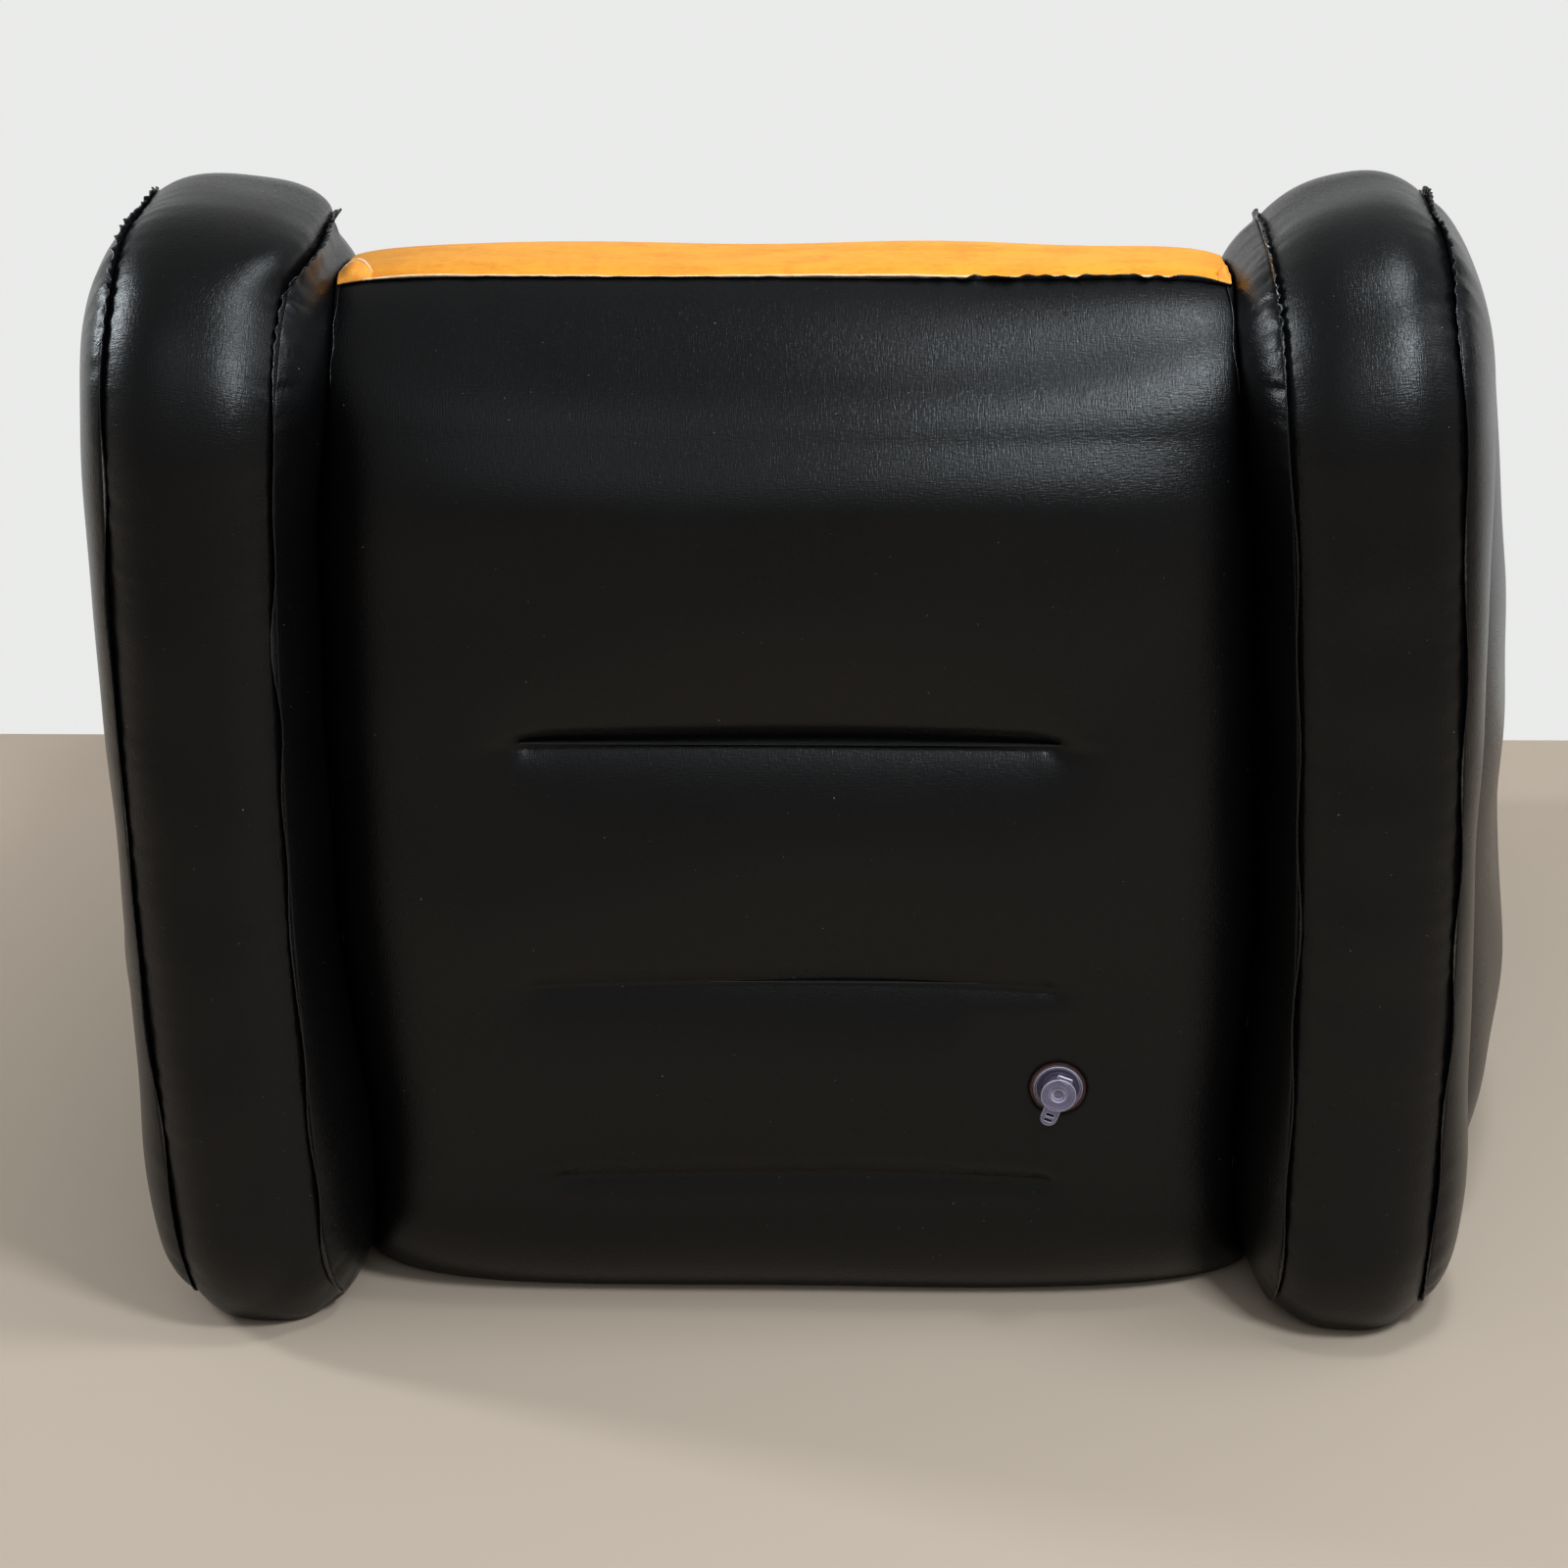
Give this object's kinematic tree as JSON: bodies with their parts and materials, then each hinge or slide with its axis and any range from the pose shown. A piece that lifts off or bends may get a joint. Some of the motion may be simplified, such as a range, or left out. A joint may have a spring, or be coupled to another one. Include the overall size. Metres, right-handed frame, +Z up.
{
  "type": "inflatable sofa",
  "caption": "Inflatable one-seat sofa: tall side chambers form wings and arms round a flocked seat and backrest, with a soft stoppered air valve low on the back.",
  "frame": {"origin": "on the floor under the middle of the sofa", "axes": "+Z up, the seat faces -Y, the sitter's left is +X"},
  "size_m": [1.0746, 1.0536, 0.778],
  "materials": {
    "black_film": "embossed satin",
    "orange_flock": "short flocked pile",
    "welded_edge": "welded film edge",
    "inner_film": "plain film",
    "clear_plastic": "clear soft plastic"
  },
  "bodies": {
    "chair": {"left_outer_side_panel": "black_film", "left_inner_side_panel": "black_film", "left_gusset_strip": "black_film", "left_base_strip": "black_film", "left_outer_seam": "welded_edge", "left_inner_seam": "welded_edge", "left_wing_tie": "inner_film", "right_outer_side_panel": "black_film", "right_inner_side_panel": "black_film", "right_gusset_strip": "black_film", "right_base_strip": "black_film", "right_outer_seam": "welded_edge", "right_inner_seam": "welded_edge", "right_wing_tie": "inner_film", "back_panel": "black_film", "flocked_backrest_panel": "orange_flock", "flocked_seat_panel": "orange_flock", "bottom_panel": "black_film", "back_top_seam": "welded_edge", "chamber_divider": "inner_film", "upper_back_tie": "inner_film", "middle_back_tie": "inner_film", "lower_back_tie": "inner_film", "rear_seat_tie": "inner_film", "middle_seat_tie": "inner_film", "front_seat_tie": "inner_film", "valve_flange": "clear_plastic", "valve_bellows": "clear_plastic"},
    "stem": {"valve_stem": "clear_plastic"},
    "stopper": {"valve_stopper": "clear_plastic"},
    "flap": {"valve_flap": "clear_plastic"}
  },
  "joints": [
    {"name": "valve_sink", "type": "slide", "parent": "chair", "child": "stem", "axis": [0, -1, 0], "range_m": [0, 0.007], "deforming": ["valve_bellows"]},
    {"name": "stopper_hinge", "type": "hinge", "parent": "stem", "child": "stopper", "pos_m": [-0.18472, 0.47502, 0.19297], "axis": [0.9397, 0, 0.342], "range_deg": [0, 150]},
    {"name": "flap_hinge", "type": "hinge", "parent": "stem", "child": "flap", "pos_m": [-0.18294, 0.46102, 0.18808], "axis": [-0.9397, 0, -0.342], "range_deg": [0, 35], "stiffness_Nm_per_rad": 0.0003}
  ]
}
